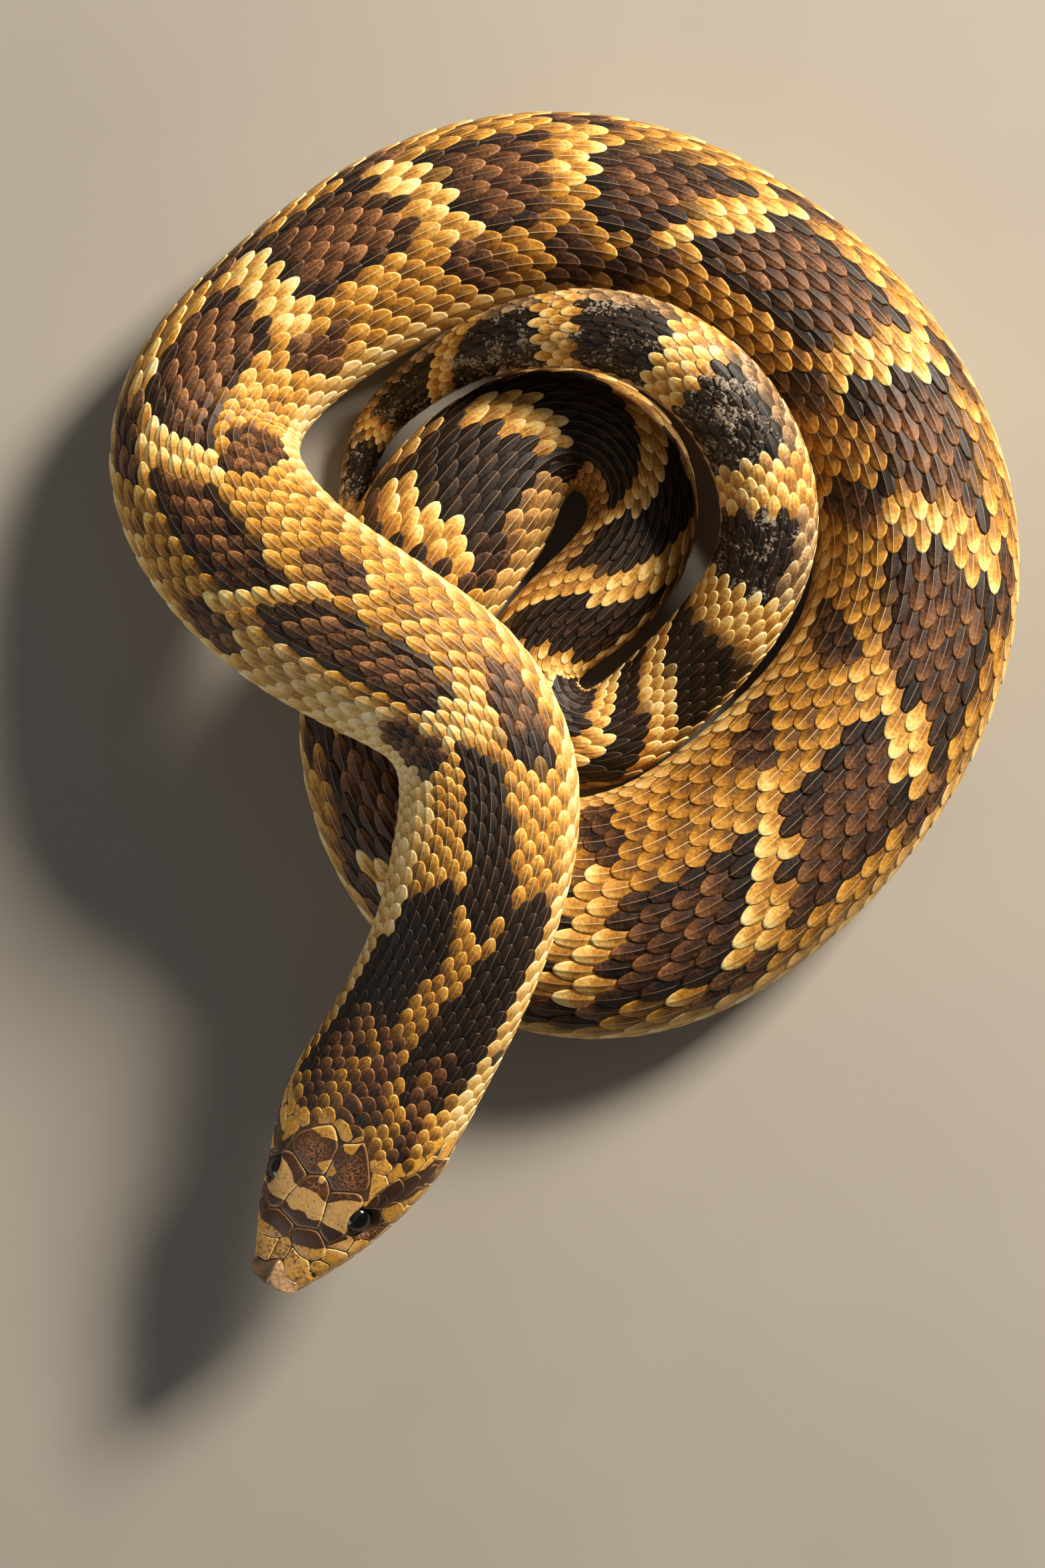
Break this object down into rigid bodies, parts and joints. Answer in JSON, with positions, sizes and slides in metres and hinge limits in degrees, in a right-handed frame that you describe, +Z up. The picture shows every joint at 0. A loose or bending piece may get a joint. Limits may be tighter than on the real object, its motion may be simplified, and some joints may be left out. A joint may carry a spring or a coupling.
{
  "type": "coiled eastern hognose snake",
  "caption": "Still life-size model of a coiled hognose snake: blotched thick body, neck crossing over the coil, banded tail, upturned snout.",
  "frame": {"origin": "middle of the outline on the floor it rests on", "axes": "+Z up from the floor, +Y towards the far side of the coil from the head, +X to the right of the head end as seen from above with the head at the bottom"},
  "size_m": [0.1462, 0.1908, 0.0483],
  "materials": {
    "skin_head": "satin",
    "skin_body": "satin",
    "skin_tail": "satin",
    "eye": "gloss"
  },
  "bodies": {
    "root": {"head": "skin_head", "lower_jaw": "skin_head", "eye_left": "eye", "eye_right": "eye", "neck_01": "skin_body", "neck_02": "skin_body", "trunk_01": "skin_body", "trunk_02": "skin_body", "trunk_03": "skin_body", "trunk_04": "skin_body", "trunk_05": "skin_body", "trunk_06": "skin_body", "trunk_07": "skin_body", "trunk_08": "skin_body", "trunk_09": "skin_body", "trunk_10": "skin_body", "trunk_11": "skin_body", "trunk_12": "skin_body", "tail_01": "skin_tail", "tail_02": "skin_tail", "tail_03": "skin_tail", "tail_04": "skin_tail"}
  },
  "joints": []
}
